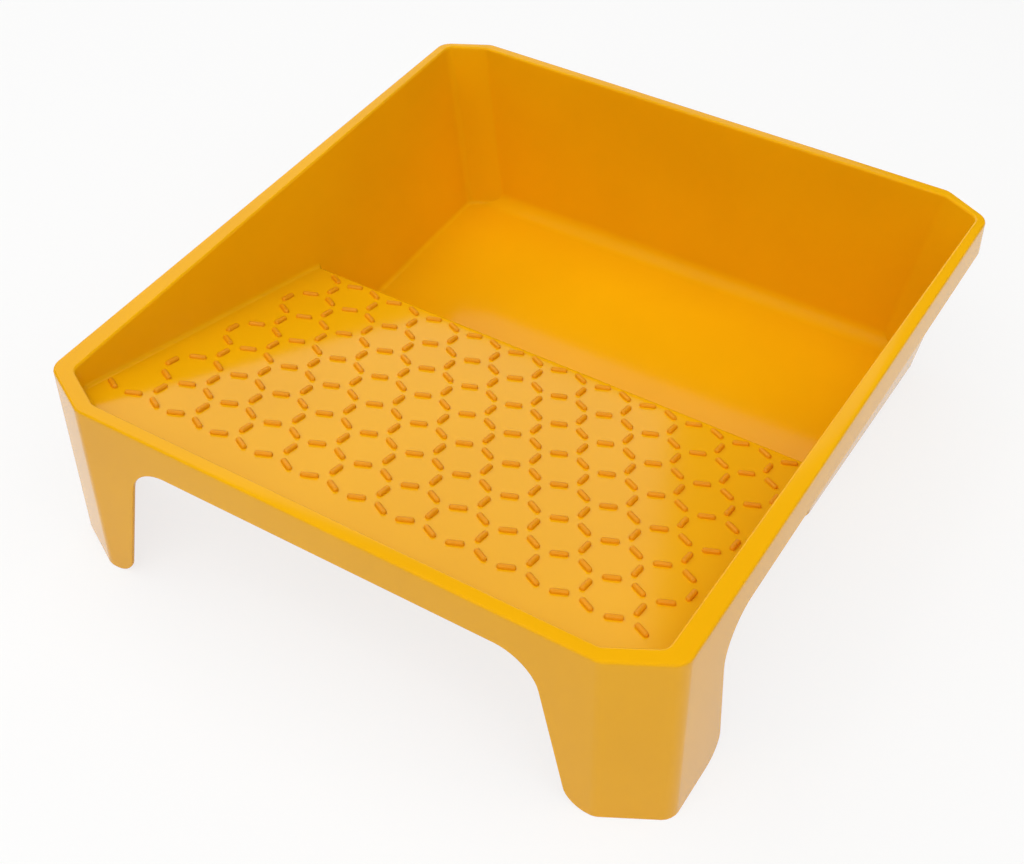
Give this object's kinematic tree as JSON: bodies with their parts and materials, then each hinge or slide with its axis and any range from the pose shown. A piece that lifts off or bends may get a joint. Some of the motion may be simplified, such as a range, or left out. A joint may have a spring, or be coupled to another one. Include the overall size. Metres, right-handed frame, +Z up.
{
  "type": "paint roller tray",
  "caption": "Moulded paint roller tray: deep well at the back, honeycomb-ribbed ramp sloping up to the front rim, skirted rim and two front corner legs.",
  "frame": {"origin": "middle of the outline in plan, on the surface that the tray stands on", "axes": "+Z up, +Y from the legs at the front to the deep well at the back, +X to the right seen from the legs; x = 0 is the plane of symmetry"},
  "size_m": [0.3234, 0.351, 0.101],
  "materials": {
    "yellow_plastic": "orange-yellow polypropylene, glossy as moulded, with a fine moulded grain"
  },
  "bodies": {
    "root": {"well_floor": "yellow_plastic", "ramp_step": "yellow_plastic", "ramp": "yellow_plastic", "ramp_ribs": "yellow_plastic", "back_wall": "yellow_plastic", "back_cove": "yellow_plastic", "front_wall": "yellow_plastic", "left_ramp_wall": "yellow_plastic", "right_ramp_wall": "yellow_plastic", "left_well_wall": "yellow_plastic", "right_well_wall": "yellow_plastic", "left_back_corner": "yellow_plastic", "right_back_corner": "yellow_plastic", "left_front_corner": "yellow_plastic", "right_front_corner": "yellow_plastic", "front_rim": "yellow_plastic", "back_rim": "yellow_plastic", "left_rim": "yellow_plastic", "right_rim": "yellow_plastic", "front_skirt": "yellow_plastic", "back_skirt": "yellow_plastic", "left_skirt": "yellow_plastic", "right_skirt": "yellow_plastic", "left_leg": "yellow_plastic", "right_leg": "yellow_plastic"}
  },
  "joints": []
}
